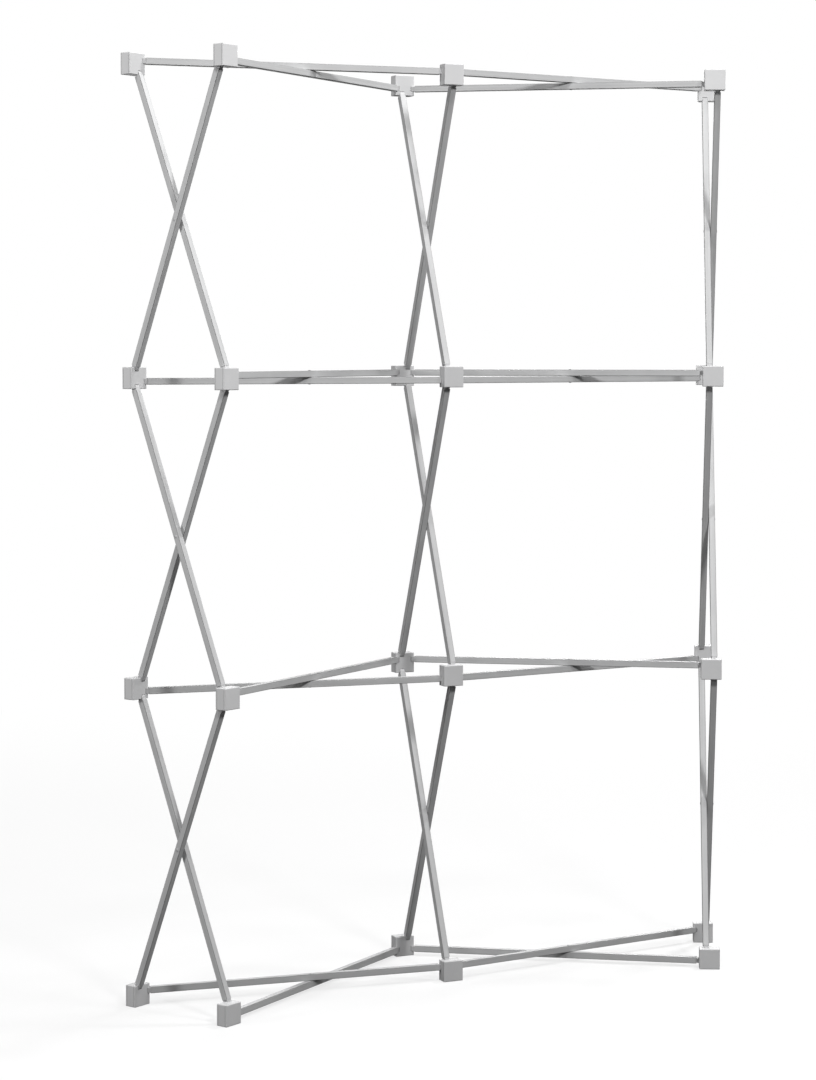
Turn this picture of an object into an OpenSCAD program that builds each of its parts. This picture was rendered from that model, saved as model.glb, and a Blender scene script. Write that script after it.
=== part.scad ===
// Frame of a pop up display wall: two bays wide, three bays high, bowed towards the viewer.
// Twenty-four hubs are joined by crossed pairs of square tubes, upright ones between the
// rows and level ones between the columns, so that the whole frame folds into a bundle.
// Every tube turns on a pin in the hub at each of its ends and on a rivet where it crosses
// its partner. +Z is up, -Y is the hollow side that faces the viewer, and the middle of the
// base is the origin.

/* [Frame] */
// Length of every tube, from pin to pin
tube_length = 750; // [500:5:1000]
// Distance from the front pins to the rear pins of a column
frame_depth = 272; // [180:1:330]
// How far the rivet of a level pair lies from the middle of its tubes, which bows the frame
pivot_offset = 35; // [10:1:50]

/* [Tubes] */
// Outside size of the square tube
tube_size = 16; // [14:0.5:16]
// Wall of the square tube
tube_wall = 1.1; // [0.8:0.1:2]
// Radius of the corners of the square tube
tube_round = 1.5; // [0.5:0.1:2]
// Gap between two tubes where they cross
tube_gap = 0.4; // [0.3:0.05:1]

/* [End plugs] */
// Thickness of the tongue that enters a hub, along its pin
tongue_thickness = 12; // [8:0.5:13]
// Width of the tongue, whose end is round
tongue_width = 14; // [10:0.5:14.5]
// Distance from the pin to the shoulder of the plug
tongue_reach = 6.5; // [6.5:0.5:12]
// Thickness of the shoulder that caps the tube
shoulder = 1.5; // [1:0.1:4]
// Length of the plug inside the tube
plug_depth = 24; // [12:1:50]
// Clearance round the plug inside the tube
plug_fit = 0.1; // [0.05:0.05:0.3]

/* [Hubs] */
// Width and height of a hub
hub_size = 52; // [50:0.5:60]
// Depth of a hub, from its outer face to its inner face
hub_depth = 31; // [20:0.5:40]
// Thickness of the cover that closes the inner side of a hub over its pins
cover_thickness = 4.5; // [3.5:0.1:6]
// Radius of the four pegs that locate a cover on its hub
peg_radius = 2.5; // [1.5:0.1:3.5]
// Depth to which the pegs enter the hub
peg_depth = 9; // [4:0.5:12]
// Distance between neighbouring pegs
peg_spacing = 18; // [10:0.5:20]
// Distance from a pin's centre to the nearest side of the hub
pin_margin = 3; // [2.5:0.1:4]
// Radius of the edges of a hub
hub_round = 2; // [0.8:0.1:3]
// Bevel on both sides of the seam between body and cover
seam_edge = 0.3; // [0.1:0.1:0.6]
// Distance from a hub's outer face to the groove that runs round it, which matches the seam
groove_place = 4.5; // [3.5:0.1:6]
// Clearance round a tongue in its socket
socket_gap = 0.25; // [0.15:0.05:0.5]

/* [Pins and rivets] */
// Radius of a hub pin
pin_radius = 1.6; // [1.2:0.1:2]
// Length of pin held in the hub on each side of a socket
pin_seat = 5; // [2:0.5:5]
// Radial clearance of a bore on its pin or rivet
running_gap = 0.05; // [0.03:0.01:0.1]
// Gap between pieces that are fixed to each other, such as a hub and its cover
seam = 0.05; // [0.02:0.01:0.08]
// Radius of a rivet's shank
rivet_radius = 2; // [1.5:0.1:3]
// Radius of a rivet's head
rivet_head_radius = 4.2; // [3.5:0.1:6]
// Height of a rivet's head
rivet_head_height = 1.3; // [0.8:0.1:2]
// Radius of the washer between two crossing tubes
washer_radius = 5.5; // [4:0.1:7]
// Play of the level tubes at the outer front hubs, which lets the bowed frame fold
fold_play = 2.6; // [2.5:0.1:3]

/* [Hidden] */
$fn = 48;
nothing = 0.01;
beyond = 5;

HUB_COLOUR = [0.80, 0.80, 0.80];
COVER_COLOUR = [0.77, 0.77, 0.77];
TUBE_COLOUR = [0.72, 0.73, 0.74];
PLUG_COLOUR = [0.70, 0.70, 0.70];
STEEL_COLOUR = [0.60, 0.61, 0.62];

FACES = ["front", "rear"];
COLUMNS = ["left", "middle", "right"];
BAYS = ["left", "right"];
LEANS = ["back", "fore"];
ENDS = ["rear", "front"];
ROWS = 4;

// From a hub's centre to its pins, and from a tube's centre line to the plane it crosses in
pin_spread = hub_size / 2 - pin_margin;
tube_offset = (tube_size + tube_gap) / 2;

// Upright pairs: how far their tubes lean from the vertical, and the height of one bay
strut_lean = asin(frame_depth / tube_length);
bay_height = tube_length * cos(strut_lean) + 2 * pin_spread;

// Level pairs: they are riveted off centre, so the columns fan out by bay_angle
off_centre = 2 * pivot_offset / tube_length;
depth_share = frame_depth / tube_length;
rail_angle = asin(sqrt((pow(depth_share, 2) - pow(off_centre, 2)) / (1 - pow(off_centre, 2))));
bay_angle = 2 * atan(off_centre / tan(rail_angle));
front_pivot = tube_length / 2 - pivot_offset;
rear_pivot = tube_length / 2 + pivot_offset;
front_chord = 2 * front_pivot * cos(rail_angle) + 2 * pin_spread * cos(bay_angle / 2);
front_radius = front_chord / 2 / sin(bay_angle / 2);
front_turn = 90 - rail_angle + bay_angle / 2;
rear_turn = 90 - rail_angle - bay_angle / 2;

// The base's middle: halfway from the outer hubs' foremost edge to the middle hub's rear face
outer_face = hub_depth - cover_thickness;
foremost = front_radius * (cos(bay_angle) - 1) - (hub_size / 2 - hub_round) * sin(bay_angle)
    - (outer_face - hub_round) * cos(bay_angle) - hub_round;
rearmost = frame_depth + outer_face;
middle_y = (foremost + rearmost) / 2;

function hub_name(face, column, row) = str("hub_", face, "_", column, "_", row);
function strut_name(column, tier, lean) = str("strut_", column, "_", tier, "_", lean);
function rail_name(bay, row, end) = str("rail_", bay, "_", row, "_", end);

// Height of a row of hubs, counted from the floor
function row_height(row) = hub_size / 2 + (row - 1) * bay_height;

// -1, 0 or 1 for the left, middle and right columns
function place(column) = column == "left" ? -1 : column == "right" ? 1 : 0;

// The side (-1 left, 1 right) of the strut that leans back from a front hub
function strut_side(column, tier) = (tier % 2 == 1 ? 1 : -1) * (column == "left" ? 1 : -1);

// The level (-1 lower, 1 upper) of the rails that start at the middle front hub
function rail_level(row) = row == 1 || row == ROWS ? 1 : -1;

// ---------------------------------------------------------------- hubs

// Outline of a slab, seen along one of its long sides: each corner is cut off by a bevel,
// and a corner with a radius has a disk of that radius set into the bevel
module slab_outline(width, low, high, low_cut, high_cut, low_radius, high_radius) {
    half = width / 2;
    polygon([
        [-half + low_cut, low], [half - low_cut, low], [half, low + low_cut],
        [half, high - high_cut], [half - high_cut, high], [-half + high_cut, high],
        [-half, high - high_cut], [-half, low + low_cut]
    ]);
    for (x = [-1, 1]) {
        if (low_radius > 0) translate([x * (half - low_radius), low + low_radius]) circle(low_radius);
        if (high_radius > 0) translate([x * (half - high_radius), high - high_radius]) circle(high_radius);
    }
}

// Square outline with round corners
module square_outline(size, radius) {
    slab_outline(size, -size / 2, size / 2, radius, radius, radius, radius);
}

// Square slab between two depths. At each depth its edges are round or have the seam's bevel.
module hub_slab(low, high, low_is_round, high_is_round) {
    low_radius = low_is_round ? hub_round : 0;
    high_radius = high_is_round ? hub_round : 0;
    low_cut = low_is_round ? hub_round : seam_edge;
    high_cut = high_is_round ? hub_round : seam_edge;
    intersection() {
        rotate([90, 0, 0])
            translate([0, 0, -high])
                linear_extrude(high - low)
                    square_outline(hub_size, hub_round);
        translate([0, 0, -hub_size / 2])
            linear_extrude(hub_size)
                slab_outline(hub_size, low, high, low_cut, high_cut, low_radius, high_radius);
        rotate([0, 90, 0])
            translate([0, 0, -hub_size / 2])
                linear_extrude(hub_size)
                    slab_outline(hub_size, low, high, low_cut, high_cut, low_radius, high_radius);
    }
}

// Socket for a tongue that leaves the hub along +X and swings towards +Y, its pin along Z
module socket(level, play) {
    reach = tongue_width / 2 + socket_gap;
    depth = reach + play;
    width = pin_margin + reach + play / 4;
    height = tongue_thickness + 2 * socket_gap;
    translate([pin_spread - reach - play / 4, -depth, level * tube_offset - height / 2])
        cube([width + beyond, depth + cover_thickness + beyond, height]);
}

// Pin across a socket, held by the hub on both sides of it. The hub's seat has room round it.
module hub_pin(level, room) {
    length = tongue_thickness + 2 * socket_gap + 2 * (pin_seat + room);
    translate([pin_spread, 0, level * tube_offset - length / 2])
        cylinder(r = pin_radius + room, h = length);
}

// The cover's pegs, or the holes that they enter, which have room round them
module pegs(room) {
    for (x = [-1, 1], z = [-1, 1])
        translate([x * peg_spacing / 2, seam + nothing, z * peg_spacing / 2])
            rotate([90, 0, 0])
                cylinder(r = peg_radius + room, h = peg_depth + room);
}

// Turns a side feature, drawn for the right, to the left, right, upper or lower side
module to_side(way) {
    if (way == "right") children();
    if (way == "left") mirror([1, 0, 0]) children();
    if (way == "up") rotate([0, -90, 0]) mirror([0, 0, 1]) children();
    if (way == "down") mirror([0, 0, 1]) rotate([0, -90, 0]) mirror([0, 0, 1]) children();
}

// What the sockets and pins take out of a hub: ways lists [side, level, play]
module cut_outs(ways) {
    for (way = ways)
        to_side(way[0]) {
            socket(way[1], way[2]);
            hub_pin(way[1], seam);
        }
}

// A hub in its own frame: outer face towards -Y, pins in the plane Y = 0
module hub(ways) {
    color(HUB_COLOUR)
        difference() {
            union() {
                hub_slab(-outer_face, -outer_face + groove_place, true, false);
                hub_slab(-outer_face + groove_place, 0, false, false);
            }
            cut_outs(ways);
            pegs(seam);
        }
    color(COVER_COLOUR)
        difference() {
            union() {
                hub_slab(seam, cover_thickness, false, true);
                pegs(0);
            }
            cut_outs(ways);
        }
    color(STEEL_COLOUR)
        for (way = ways)
            to_side(way[0])
                hub_pin(way[1], 0);
}

// The sockets that one hub of the frame has
function hub_ways(face, column, row) =
    let (
        level = rail_level(row) * ((face == "front") == (column == "middle") ? 1 : -1),
        side = strut_side(column, row) * (face == "front" ? 1 : -1),
        play = face == "front" && column != "middle" ? fold_play : 0
    )
    concat(
        column != "left" ? [["left", level, play]] : [],
        column != "right" ? [["right", level, play]] : [],
        row < ROWS ? [["up", side, 0]] : [],
        row > 1 ? [["down", side, 0]] : []
    );

// ---------------------------------------------------------------- tubes

// Hollow square tube along X, between two distances from the first pin
module tube_shell(from, to, bore) {
    color(TUBE_COLOUR)
        difference() {
            translate([from, 0, 0])
                rotate([90, 0, 90])
                    linear_extrude(to - from)
                        difference() {
                            square_outline(tube_size, tube_round);
                            square(tube_size - 2 * tube_wall, center = true);
                        }
            translate([bore[0], 0, -tube_size])
                cylinder(r = bore[1], h = 2 * tube_size);
        }
}

// Plug for one end: its round tongue turns on the pin at the origin, the tube lies along +X
module end_plug(play) {
    reach = tongue_reach + play;
    inside = tube_size - 2 * tube_wall - 2 * plug_fit;
    color(PLUG_COLOUR)
        difference() {
            union() {
                translate([0, 0, -tongue_thickness / 2])
                    cylinder(d = tongue_width, h = tongue_thickness);
                translate([0, -tongue_width / 2, -tongue_thickness / 2])
                    cube([reach + nothing, tongue_width, tongue_thickness]);
                translate([reach, 0, 0])
                    rotate([90, 0, 90])
                        linear_extrude(shoulder - seam)
                            square_outline(tube_size, tube_round);
                translate([reach + nothing, -inside / 2, -inside / 2])
                    cube([shoulder + plug_depth, inside, inside]);
            }
            translate([0, 0, -tongue_thickness])
                cylinder(r = pin_radius + running_gap + play, h = 2 * tongue_thickness);
        }
}

// Low domed head on a face at Z = 0
module rivet_head() {
    dome_radius = (pow(rivet_head_radius, 2) + pow(rivet_head_height, 2)) / (2 * rivet_head_height);
    intersection() {
        translate([0, 0, rivet_head_height - dome_radius])
            sphere(dome_radius);
        cylinder(r = rivet_head_radius, h = rivet_head_height);
    }
}

// Rivet of an upright pair: its head bears on this tube at Z = 0, its shank runs through the
// partner above, and a washer keeps the two tubes apart
module through_rivet() {
    partner_face = tube_size / 2 + tube_gap + tube_size;
    low = -tube_size / 2 - seam;
    high = partner_face + tube_gap / 2;
    color(STEEL_COLOUR) {
        union() {
            translate([0, 0, low])
                cylinder(r = rivet_radius, h = high - low);
            translate([0, 0, low])
                mirror([0, 0, 1])
                    rivet_head();
            translate([0, 0, high])
                rivet_head();
        }
        translate([0, 0, tube_size / 2 + seam])
            difference() {
                cylinder(r = washer_radius, h = tube_gap - 2 * seam);
                translate([0, 0, -beyond])
                    cylinder(r = rivet_radius + seam, h = 2 * beyond);
            }
    }
}

// Half of a level pair's rivet: its collar ends short of the plane where the two tubes meet
module half_rivet() {
    low = -tube_size / 2 - seam;
    high = (tube_size + tube_gap - seam) / 2;
    color(STEEL_COLOUR)
        union() {
            translate([0, 0, low])
                cylinder(r = rivet_radius, h = high - low);
            translate([0, 0, low])
                mirror([0, 0, 1])
                    rivet_head();
            translate([0, 0, tube_size / 2 + seam])
                cylinder(r = washer_radius, h = high - tube_size / 2 - seam);
        }
}

// A tube along +X from the pin at the origin to the pin at tube_length, both along Z.
// Its partner crosses it at pivot, on the side of +Z or -Z that mate gives.
module tube(pivot, mate, rivet, far_play) {
    bore = rivet_radius + (rivet == "none" ? running_gap : seam);
    tube_shell(tongue_reach + shoulder, tube_length - tongue_reach - far_play - shoulder, [pivot, bore]);
    end_plug(0);
    translate([tube_length, 0, 0])
        mirror([1, 0, 0])
            end_plug(far_play);
    translate([pivot, 0, 0])
        mirror([0, 0, mate < 0 ? 1 : 0]) {
            if (rivet == "through") through_rivet();
            if (rivet == "half") half_rivet();
        }
}

// ---------------------------------------------------------------- the assembled frame

// Stands its children in a column: X along the frame, Y outwards from the centre of the bow
module in_column(column) {
    translate([0, -front_radius - middle_y, 0])
        rotate([0, 0, -place(column) * bay_angle])
            translate([0, front_radius, 0])
                children();
}

module placed_hub(face, column, row) {
    in_column(column)
        translate([0, face == "front" ? 0 : frame_depth, row_height(row)])
            mirror([0, face == "front" ? 0 : 1, 0])
                hub(hub_ways(face, column, row));
}

// Upright tube of one column: "back" rises from the front hub to the rear, "fore" the other way
module placed_strut(column, tier, lean) {
    back = lean == "back";
    side = strut_side(column, tier) * (back ? 1 : -1);
    in_column(column)
        translate([side * tube_offset, back ? 0 : frame_depth, row_height(tier) + pin_spread])
            rotate([180 - (back ? 1 : -1) * strut_lean, 0, 0])
                rotate([0, 90, 0])
                    tube(tube_length / 2, -side, back ? "through" : "none", 0);
}

// Level tube of one bay: it starts at the middle column and ends at the outer column's hub
module placed_rail(bay, row, end) {
    out = place(bay);
    to_rear = end == "rear";
    level = rail_level(row) * (to_rear ? 1 : -1);
    heading = to_rear ? 90 - out * front_turn : -90 + out * rear_turn;
    in_column("middle")
        translate([out * pin_spread, to_rear ? 0 : frame_depth, row_height(row) + level * tube_offset])
            rotate([0, 0, heading])
                tube(to_rear ? front_pivot : rear_pivot, -level, "half", to_rear ? 0 : fold_play);
}

for (face = FACES, column = COLUMNS, row = [1 : ROWS])
    placed_hub(face, column, row);

for (column = COLUMNS, tier = [1 : ROWS - 1], lean = LEANS)
    placed_strut(column, tier, lean);

for (bay = BAYS, row = [1 : ROWS], end = ENDS)
    placed_rail(bay, row, end);
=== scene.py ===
import math

import bpy
import numpy as np
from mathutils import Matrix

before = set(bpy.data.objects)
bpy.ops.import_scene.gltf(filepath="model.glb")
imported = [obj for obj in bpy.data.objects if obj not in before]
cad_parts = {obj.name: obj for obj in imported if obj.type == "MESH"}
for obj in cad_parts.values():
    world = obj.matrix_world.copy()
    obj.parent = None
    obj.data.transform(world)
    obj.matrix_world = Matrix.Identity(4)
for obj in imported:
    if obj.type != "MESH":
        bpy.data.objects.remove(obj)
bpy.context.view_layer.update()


# ------------------------------------------------------------------------------------------
# Viewpoint. The photographer stands to the left of the frame's middle, at eye height, with the
# camera tipped a little down. Its lens is shifted a little, so uprights stay nearly parallel.
# ------------------------------------------------------------------------------------------
PHOTO_HEIGHT_PX = 1080
FOCAL_LENGTH_PX = 2548.8
LENS_AXIS_ROW_PX = 478.0
FILM_HEIGHT_MM = 24.0
SIGHT_LIMIT = 60.0
CAMERA_PLACE = (-2.733, -5.779, 1.588)
CAMERA_HEADING = math.radians(24.568)
CAMERA_TILT = math.radians(-2.925)

lens = bpy.data.cameras.new("photo lens")
lens.sensor_fit = "VERTICAL"
lens.sensor_height = FILM_HEIGHT_MM
lens.lens = FOCAL_LENGTH_PX / PHOTO_HEIGHT_PX * FILM_HEIGHT_MM
lens.shift_y = (LENS_AXIS_ROW_PX - PHOTO_HEIGHT_PX / 2) / PHOTO_HEIGHT_PX
lens.clip_end = SIGHT_LIMIT
camera = bpy.data.objects.new("photo camera", lens)
camera.location = CAMERA_PLACE
camera.rotation_euler = (math.pi / 2 + CAMERA_TILT, 0.0, -CAMERA_HEADING)
bpy.context.scene.collection.objects.link(camera)
bpy.context.scene.camera = camera
bpy.context.scene.view_settings.view_transform = "Standard"


# ------------------------------------------------------------------------------------------
# Hubs. Each is a block moulded from light grey nylon in a spark-eroded mould, with a matt grain.
# A cover of the same nylon closes its inner side over the zinc-plated steel pins on which the tubes
# turn. A dark line of painted shade lies on the bevels of the cover's seam and the matching groove.
# ------------------------------------------------------------------------------------------
NYLON_GREY = (0.66, 0.66, 0.665)
NYLON_ROUGHNESS = 0.52
NYLON_REFRACTION = 1.53
NYLON_CLOUDING = 0.025
NYLON_SCUFFING = 0.05
GRAINS_PER_METRE = 1400.0
GRAIN_DEPTH = 0.00003
GRAIN_STRENGTH = 0.6

STEEL_GREY = (0.55, 0.56, 0.57)
STEEL_ROUGHNESS = 0.34
STEEL_CLOUDING = 0.08
STEEL_SCUFFING = 0.06
BLOTCHES_PER_METRE = 900.0
PLATING_DEPTH = 0.00002
PLATING_STRENGTH = 0.5

# Painted shade: a dark tone laid on the bevels of the cover's seam and of the groove
SEAM_SHADE_GREY = (0.14, 0.14, 0.14)
SEAM_ROUGHNESS = 0.7
SEAM_REACH = 0.0004       # half the width of the band of painted shade
GROOVE_PLACE = 0.0045     # from the hub's outer face
LEVEL_FACE = 0.9          # a face that lies squarer than this to the hub's axis keeps the plain nylon, without painted shade

CLOUDS_PER_METRE = 14.0
PATCHES_PER_METRE = 38.0
SCRATCHES_PER_METRE = 420.0
NOISE_SWING = (0.3, 0.7)      # the range that holds nearly all of a noise
PATCH_EDGE = (0.52, 0.68)     # noise values between which a rubbed patch fades in
SCRATCH_EDGE = (0.50, 0.66)   # and a scratch
SCUFF_DULLING = 2.0           # how much more a scuff roughens than it lightens

PIN_LENGTH_LIMIT = 0.030      # the pins are the pieces of a hub that are shorter
NYLON_SLOT, PIN_SLOT, SEAM_SLOT = range(3)
NUMBER, COLOUR, VECTOR = "NodeSocketFloat", "NodeSocketColor", "NodeSocketVector"


def new_group(name, inputs, outputs):
    """Shader node group with named sockets, each given with its kind."""
    group = bpy.data.node_groups.new(name, "ShaderNodeTree")
    for side, sockets in (("INPUT", inputs), ("OUTPUT", outputs)):
        for label, kind in sockets.items():
            group.interface.new_socket(label, in_out=side, socket_type=kind)
    return group


def add(tree, kind, links=None, **settings):
    """Adds a node; links maps its inputs to sockets or plain values."""
    node = tree.nodes.new(kind)
    for key, value in settings.items():
        setattr(node, key, value)
    for key, source in (links or {}).items():
        if isinstance(source, bpy.types.NodeSocket):
            tree.links.new(source, node.inputs[key])
        else:
            node.inputs[key].default_value = source
    return node


def place_on_piece(tree):
    """The place on a piece, in metres."""
    return add(tree, "ShaderNodeTexCoord").outputs["Object"]


def noise(tree, place, per_metre, detail, distortion=0.0):
    """Soft random values from 0 to 1, so many to the metre."""
    links = {"Vector": place, "Scale": per_metre, "Detail": detail, "Distortion": distortion}
    return add(tree, "ShaderNodeTexNoise", links).outputs["Fac"]


def number_result(tree, operation, *terms):
    """Result of an operation on plain numbers."""
    return add(tree, "ShaderNodeMath", dict(enumerate(terms)), operation=operation).outputs[0]


def band(tree, source, low, high, to_low, to_high):
    """Maps a value from one range to another, held at both ends."""
    links = {
        "Value": source,
        "From Min": low, "From Max": high,
        "To Min": to_low, "To Max": to_high,
    }
    return add(tree, "ShaderNodeMapRange", links).outputs["Result"]


def scaled(tree, source, factor):
    """Multiplies a colour or a vector by a plain number."""
    links = {0: source, "Scale": factor}
    return add(tree, "ShaderNodeVectorMath", links, operation="SCALE").outputs["Vector"]


def handled_finish():
    """Faint clouding and rubbed scuffs of a thing that is packed and unpacked by hand."""
    group = new_group(
        "handled finish",
        {"Tone": COLOUR, "Roughness": NUMBER, "Clouding": NUMBER, "Scuffing": NUMBER},
        {"Tone": COLOUR, "Roughness": NUMBER},
    )
    given = add(group, "NodeGroupInput").outputs
    place = place_on_piece(group)
    clouds = noise(group, place, CLOUDS_PER_METRE, detail=3.0)
    patches = noise(group, place, PATCHES_PER_METRE, detail=5.0)
    scratches = noise(group, place, SCRATCHES_PER_METRE, detail=2.0, distortion=1.5)
    rubbed = band(group, patches, *PATCH_EDGE, 0.0, 1.0)
    scratched = band(group, scratches, *SCRATCH_EDGE, 0.0, 1.0)
    scuffs = number_result(group, "MULTIPLY", rubbed, scratched)
    lift = number_result(group, "MULTIPLY", scuffs, given["Scuffing"])
    swing = band(group, clouds, *NOISE_SWING, -1.0, 1.0)
    shade = number_result(group, "MULTIPLY_ADD", swing, given["Clouding"], 1.0)
    tone = scaled(group, given["Tone"], number_result(group, "ADD", shade, lift))
    rough = number_result(group, "MULTIPLY_ADD", lift, SCUFF_DULLING, given["Roughness"])
    add(group, "NodeGroupOutput", {"Tone": tone, "Roughness": rough})
    return group


HANDLED_FINISH = handled_finish()


def new_surface(name):
    """Material with an empty shader; returns the material, its tree and its shader node."""
    material = bpy.data.materials.new(name)
    material.use_nodes = True
    return material, material.node_tree, material.node_tree.nodes["Principled BSDF"]


def worn(tree, shader, tone, roughness, clouding, scuffing):
    """Places the handled finish in a material and feeds the shader's colour and roughness."""
    given = {"Tone": tone, "Roughness": roughness, "Clouding": clouding, "Scuffing": scuffing}
    finish = add(tree, "ShaderNodeGroup", given, node_tree=HANDLED_FINISH)
    tree.links.new(finish.outputs["Tone"], shader.inputs["Base Color"])
    tree.links.new(finish.outputs["Roughness"], shader.inputs["Roughness"])


def raised(tree, shader, height, depth, strength):
    """Feeds a relief of the given depth in metres to the shader's normal."""
    bump = add(tree, "ShaderNodeBump", {"Height": height, "Distance": depth, "Strength": strength})
    tree.links.new(bump.outputs["Normal"], shader.inputs["Normal"])


def moulded_nylon(name, tone, roughness):
    """Matt nylon with the fine grain of a spark-eroded mould."""
    material, tree, shader = new_surface(name)
    worn(tree, shader, (*tone, 1.0), roughness, NYLON_CLOUDING, NYLON_SCUFFING)
    grain = noise(tree, place_on_piece(tree), GRAINS_PER_METRE, detail=2.0)
    raised(tree, shader, grain, GRAIN_DEPTH, GRAIN_STRENGTH)
    shader.inputs["IOR"].default_value = NYLON_REFRACTION
    return material


def plated_steel(name):
    """Zinc-plated steel, turned or headed, with its slightly blotched plating."""
    material, tree, shader = new_surface(name)
    worn(tree, shader, (*STEEL_GREY, 1.0), STEEL_ROUGHNESS, STEEL_CLOUDING, STEEL_SCUFFING)
    blotches = noise(tree, place_on_piece(tree), BLOTCHES_PER_METRE, detail=3.0)
    raised(tree, shader, blotches, PLATING_DEPTH, PLATING_STRENGTH)
    shader.inputs["Metallic"].default_value = 1.0
    return material


def pieces_of(node):
    """The separate pieces of a CAD node: for each, its faces and the corners of its vertices."""
    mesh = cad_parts[node].data
    joined_to = list(range(len(mesh.vertices)))

    def top(i):
        """The vertex that stands for all that are joined to vertex i."""
        while joined_to[i] != i:
            joined_to[i] = joined_to[joined_to[i]]
            i = joined_to[i]
        return i

    # Vertices that share a place belong to one piece, even where the mesh splits them
    seen = {}
    for vertex in mesh.vertices:
        spot = tuple(round(value, 6) for value in vertex.co)
        joined_to[top(vertex.index)] = top(seen.setdefault(spot, vertex.index))
    for edge in mesh.edges:
        joined_to[top(edge.vertices[0])] = top(edge.vertices[1])
    faces = {}
    for polygon in mesh.polygons:
        faces.setdefault(top(polygon.vertices[0]), []).append(polygon.index)
    pieces = []
    for members in faces.values():
        corners = {i for face in members for i in mesh.polygons[face].vertices}
        pieces.append((members, np.array([mesh.vertices[i].co for i in sorted(corners)])))
    return pieces


def span(corners):
    """Diagonal of the box round a piece."""
    return float(np.linalg.norm(corners.max(axis=0) - corners.min(axis=0)))


def facing(mesh, faces):
    """Normal of a piece's largest flat side."""
    totals = {}
    for face in faces:
        polygon = mesh.polygons[face]
        side = tuple(round(value, 2) for value in polygon.normal)
        totals[side] = totals.get(side, np.zeros(3)) + np.array(polygon.normal) * polygon.area
    largest = max(totals.values(), key=np.linalg.norm)
    return largest / np.linalg.norm(largest)


def finish_pieces(node, materials, slot_of):
    """Gives each piece of a CAD node the material in the slot that slot_of() returns."""
    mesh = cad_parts[node].data
    mesh.materials.clear()
    for material in materials:
        mesh.materials.append(material)
    for members, corners in pieces_of(node):
        slot = slot_of(corners)
        for face in members:
            mesh.polygons[face].material_index = slot


def hub_slot(corners):
    """Slot of a hub's piece: its pins are far shorter than its body and cover."""
    return PIN_SLOT if span(corners) < PIN_LENGTH_LIMIT else NYLON_SLOT


def paint_seam_shade(node):
    """Gives the bevels of a hub's groove and of its cover's seam the dark material of painted shade.
    """
    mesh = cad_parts[node].data
    by_size = sorted(pieces_of(node), key=lambda piece: -span(piece[1]))
    (body_faces, body_corners), (cover_faces, cover_corners) = by_size[:2]
    outward = facing(mesh, body_faces)
    if outward @ (body_corners.mean(axis=0) - cover_corners.mean(axis=0)) < 0:
        outward = -outward
    body_depths = body_corners @ outward
    depths = np.array([vertex.co for vertex in mesh.vertices]) @ outward
    for line in (body_depths.max() - GROOVE_PLACE, body_depths.min()):
        for face in body_faces + cover_faces:
            polygon = mesh.polygons[face]
            offset = max(abs(depths[i] - line) for i in polygon.vertices)
            squareness = abs(outward @ np.array(polygon.normal))
            if offset < SEAM_REACH and squareness < LEVEL_FACE:
                polygon.material_index = SEAM_SLOT


hub_nylon = moulded_nylon("hub nylon", NYLON_GREY, NYLON_ROUGHNESS)
# painted shade: a dark material for the bevels along each hub's seam and groove
seam_painted_shade = moulded_nylon("seam painted shade", SEAM_SHADE_GREY, SEAM_ROUGHNESS)
pin_steel = plated_steel("pin steel")
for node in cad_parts:
    if node.startswith("hub_"):
        finish_pieces(node, [hub_nylon, pin_steel, seam_painted_shade], hub_slot)
        paint_seam_shade(node)


# ------------------------------------------------------------------------------------------
# Tubes. Uprights and rails are the same square aluminium tube, drawn through a die and left
# satin, with painted shade along its rounded corners. A moulded nylon plug closes each end and
# carries the tongue that turns in the hub. Plated steel rivets with washers join the tubes at a
# crossing.
# ------------------------------------------------------------------------------------------
ALUMINIUM_GREY = (0.55, 0.552, 0.555)
ALUMINIUM_ROUGHNESS = 0.58
ALUMINIUM_METALLIC = 0.08     # the satin surface scatters light nearly as paint does
ALUMINIUM_CLOUDING = 0.03
ALUMINIUM_SCUFFING = 0.06

DIE_LINES_PER_METRE = 1600.0
DIE_BANDS_PER_METRE = 260.0
DIE_STRETCH = 0.004           # how much slower the lines change along the tube than across it
DIE_BAND_TONES = (0.95, 1.05)
DIE_LINE_DEPTH = 0.00003
DIE_LINE_STRENGTH = 0.6

# Painted shade: the tubes' rounded corners are darkened where the surface turns between flat sides
CORNER_SHADE_TONE = 0.40
CORNER_TURN = (0.92, 0.995)   # squareness to a flat side: full painted corner shade below, none above

PLUG_GREY = (0.54, 0.54, 0.545)
PLUG_ROUGHNESS = 0.5
TUBE_LENGTH_LIMIT = 0.40      # the tube is longer
PLUG_LENGTH_LIMIT = 0.034     # rivets and washers are shorter
TUBE_SLOT, PLUG_SLOT, RIVET_SLOT = range(3)


def vector_result(tree, operation, *terms):
    """Result of an operation on vectors; a dot product or a length is a plain number."""
    node = add(tree, "ShaderNodeVectorMath", dict(enumerate(terms)), operation=operation)
    return node.outputs["Value" if operation in ("DOT_PRODUCT", "LENGTH") else "Vector"]


def die_lines():
    """Fine lines and broader bands that the drawing die leaves along a tube, as values."""
    group = new_group(
        "die lines",
        {"Along": VECTOR, "Lines per metre": NUMBER, "Bands per metre": NUMBER},
        {"Lines": NUMBER, "Bands": NUMBER},
    )
    given = add(group, "NodeGroupInput").outputs
    place = place_on_piece(group)
    distance = vector_result(group, "DOT_PRODUCT", place, given["Along"])
    along = scaled(group, given["Along"], distance)
    across = vector_result(group, "SUBTRACT", place, along)
    drawn_out = vector_result(group, "ADD", across, scaled(group, along, DIE_STRETCH))
    fine = noise(group, drawn_out, given["Lines per metre"], detail=3.0)
    coarse = noise(group, drawn_out, given["Bands per metre"], detail=1.0)
    add(group, "NodeGroupOutput", {"Lines": fine, "Bands": coarse})
    return group


DIE_LINES = die_lines()
tube_finishes = {}


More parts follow.
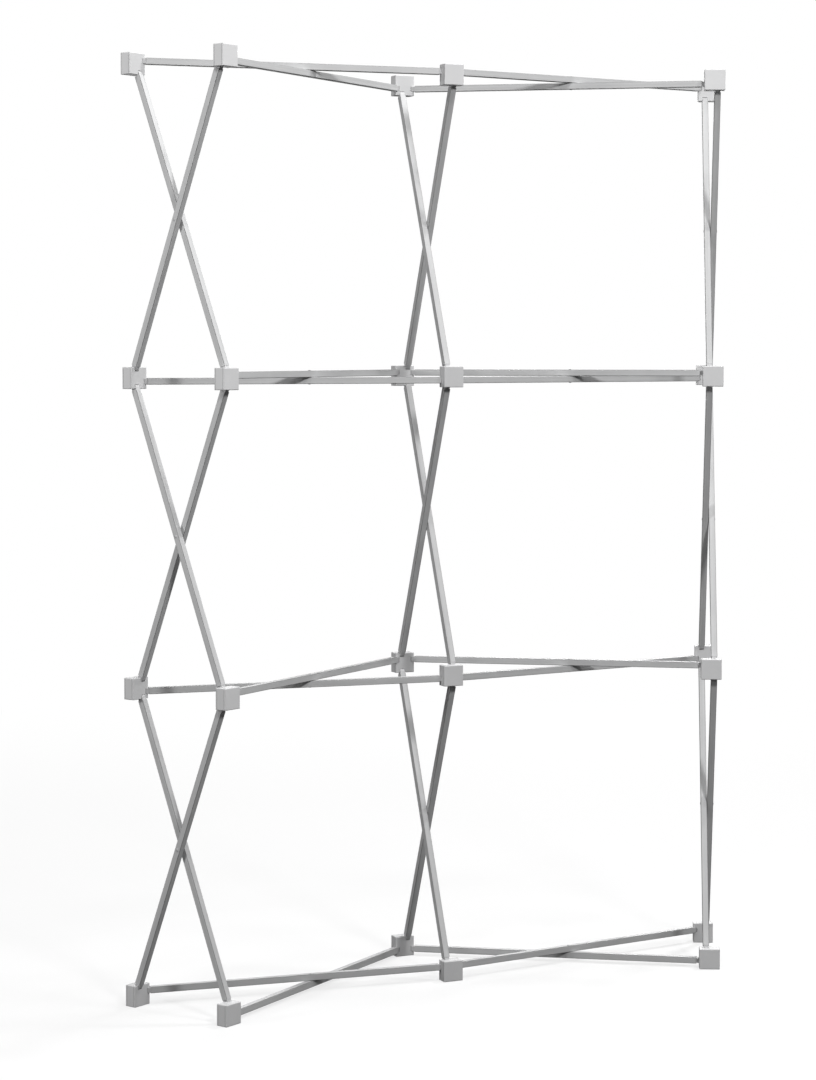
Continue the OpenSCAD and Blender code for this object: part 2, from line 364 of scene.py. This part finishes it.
def corner_shade(tree, side_normals):
    """Painted shade: falls from 1 on the tube's flat sides to the corner tone on its rounded
    corners.
    """
    normal = add(tree, "ShaderNodeTexCoord").outputs["Normal"]
    squareness = 0.0
    for side_normal in side_normals:
        dot = vector_result(tree, "DOT_PRODUCT", normal, tuple(side_normal))
        squareness = number_result(tree, "MAXIMUM", number_result(tree, "ABSOLUTE", dot), squareness)
    return band(tree, squareness, *CORNER_TURN, CORNER_SHADE_TONE, 1.0)


def drawn_aluminium(along, side_normals):
    """Satin aluminium whose die lines run along the given direction."""
    name = "tube aluminium {:.2f} {:.2f} {:.2f}".format(*along)
    if name in tube_finishes:
        return tube_finishes[name]
    material, tree, shader = new_surface(name)
    given = {
        "Along": tuple(along),
        "Lines per metre": DIE_LINES_PER_METRE,
        "Bands per metre": DIE_BANDS_PER_METRE,
    }
    lines = add(tree, "ShaderNodeGroup", given, node_tree=DIE_LINES).outputs
    shade = band(tree, lines["Bands"], *NOISE_SWING, *DIE_BAND_TONES)
    # the tone carries painted shade along the rounded corners
    tone = scaled(tree, scaled(tree, ALUMINIUM_GREY, shade), corner_shade(tree, side_normals))
    worn(tree, shader, tone, ALUMINIUM_ROUGHNESS, ALUMINIUM_CLOUDING, ALUMINIUM_SCUFFING)
    raised(tree, shader, lines["Lines"], DIE_LINE_DEPTH, DIE_LINE_STRENGTH)
    shader.inputs["Metallic"].default_value = ALUMINIUM_METALLIC
    tube_finishes[name] = material
    return material


def direction_of(corners):
    """Direction in which a long piece lies, upwards or to the right."""
    lie = np.linalg.svd(corners - corners.mean(axis=0), full_matrices=False)[2][0]
    lead = lie[np.argmax(np.abs(lie))]
    return lie if lead > 0 else -lie


def tube_slot(corners):
    """Slot of a tube's piece: the tube is longest, then the plugs, then rivets and washers."""
    size = span(corners)
    if size > TUBE_LENGTH_LIMIT:
        return TUBE_SLOT
    return PLUG_SLOT if size > PLUG_LENGTH_LIMIT else RIVET_SLOT


plug_nylon = moulded_nylon("plug nylon", PLUG_GREY, PLUG_ROUGHNESS)
rivet_steel = plated_steel("rivet steel")
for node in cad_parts:
    if node.startswith(("strut_", "rail_")):
        faces, corners = max(pieces_of(node), key=lambda piece: span(piece[1]))
        along = direction_of(corners)
        across = facing(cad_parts[node].data, faces)
        aluminium = drawn_aluminium(along, (across, np.cross(along, across)))
        finish_pieces(node, [aluminium, plug_nylon, rivet_steel], tube_slot)


# ------------------------------------------------------------------------------------------
# Studio. A seamless pale floor under a white sky. The key lamp stands in front of the bow's
# middle and three lamps hang high round it. One stands at the left for the side faces, and
# two large ones behind lift the rear.
# ------------------------------------------------------------------------------------------
WHITE = (1.0, 1.0, 1.0, 1.0)
SKY_LIGHT = 0.08
FLOOR_REACH = 30.0
FLOOR_WHITE = (0.86, 0.86, 0.86, 1.0)
FLOOR_ROUGHNESS = 0.9
FLOOR_BOUNCE = (0.07, 0.07, 0.07, 1.0)
FLOOR_FADE = (1.5, 5.0)           # distances from the frame between which the floor turns white
FLOOR_FADE_SHARE = (0.7, 1.0)     # share of plain white at those distances
BOW_MIDDLE = (0.0, 0.0, 1.2)
# Each lamp's name, place, width in metres and power in watts; they all face the bow's middle
LAMPS = (
    ("key lamp", (0.0, -4.66, 4.11), 0.8, 153.0),
    ("high front lamp", (1.46, -2.52, 5.86), 0.8, 84.0),
    ("high left lamp", (-2.52, -1.46, 5.86), 0.8, 72.0),
    ("high right lamp", (2.91, 0.0, 5.86), 0.8, 184.0),
    ("side lamp", (-5.45, 0.0, 1.97), 0.8, 86.0),
    ("rear panel", (1.0, 6.5, 1.8), 3.0, 66.0),
    ("rear fill", (3.6, 5.2, 2.2), 2.0, 90.0),
)


def mixed(tree, share, first, second):
    """Shader that goes from the first to the second as the share goes from 0 to 1."""
    return add(tree, "ShaderNodeMixShader", {0: share, 1: first, 2: second}).outputs[0]


def pale_floor():
    """Matt white near the frame, fading into the white backdrop; it throws little light back."""
    material, tree, shader = new_surface("pale floor")
    shader.inputs["Base Color"].default_value = FLOOR_WHITE
    shader.inputs["Roughness"].default_value = FLOOR_ROUGHNESS
    away = vector_result(tree, "LENGTH", place_on_piece(tree))
    backdrop = add(tree, "ShaderNodeEmission", {"Strength": 1.0}).outputs[0]
    fade = band(tree, away, *FLOOR_FADE, *FLOOR_FADE_SHARE)
    shown = mixed(tree, fade, shader.outputs[0], backdrop)
    dull = add(tree, "ShaderNodeBsdfDiffuse", {"Color": FLOOR_BOUNCE}).outputs[0]
    seen = add(tree, "ShaderNodeLightPath").outputs["Is Camera Ray"]
    surface = tree.nodes["Material Output"].inputs["Surface"]
    tree.links.new(mixed(tree, seen, dull, shown), surface)
    return material


def studio_floor():
    """One large square under the frame."""
    ends = (-FLOOR_REACH, FLOOR_REACH)
    mesh = bpy.data.meshes.new("studio floor")
    mesh.from_pydata([(x, y, 0) for x in ends for y in ends], [], [(0, 2, 3, 1)])
    mesh.materials.append(pale_floor())
    floor = bpy.data.objects.new("studio_floor", mesh)
    bpy.context.scene.collection.objects.link(floor)


def round_lamp(name, place, width, power):
    """Round soft lamp that faces the middle of the bow."""
    light = bpy.data.lights.new(name, "AREA")
    light.shape = "DISK"
    light.size = width
    light.energy = power
    lamp = bpy.data.objects.new(name, light)
    lamp.location = place
    x, y, z = np.subtract(BOW_MIDDLE, place)
    lamp.rotation_euler = (math.atan2(math.hypot(x, y), -z), 0.0, math.atan2(-x, y))
    bpy.context.scene.collection.objects.link(lamp)


def white_sky():
    """White where the camera sees it, and far dimmer as a light on the frame."""
    sky = bpy.data.worlds.new("white sky")
    sky.use_nodes = True
    bpy.context.scene.world = sky
    tree = sky.node_tree
    dim = tree.nodes["Background"]
    dim.inputs["Color"].default_value = WHITE
    dim.inputs["Strength"].default_value = SKY_LIGHT
    white = add(tree, "ShaderNodeBackground", {"Color": WHITE, "Strength": 1.0})
    seen = add(tree, "ShaderNodeLightPath").outputs["Is Camera Ray"]
    surface = tree.nodes["World Output"].inputs["Surface"]
    tree.links.new(mixed(tree, seen, dim.outputs[0], white.outputs[0]), surface)


studio_floor()
for lamp in LAMPS:
    round_lamp(*lamp)
white_sky()
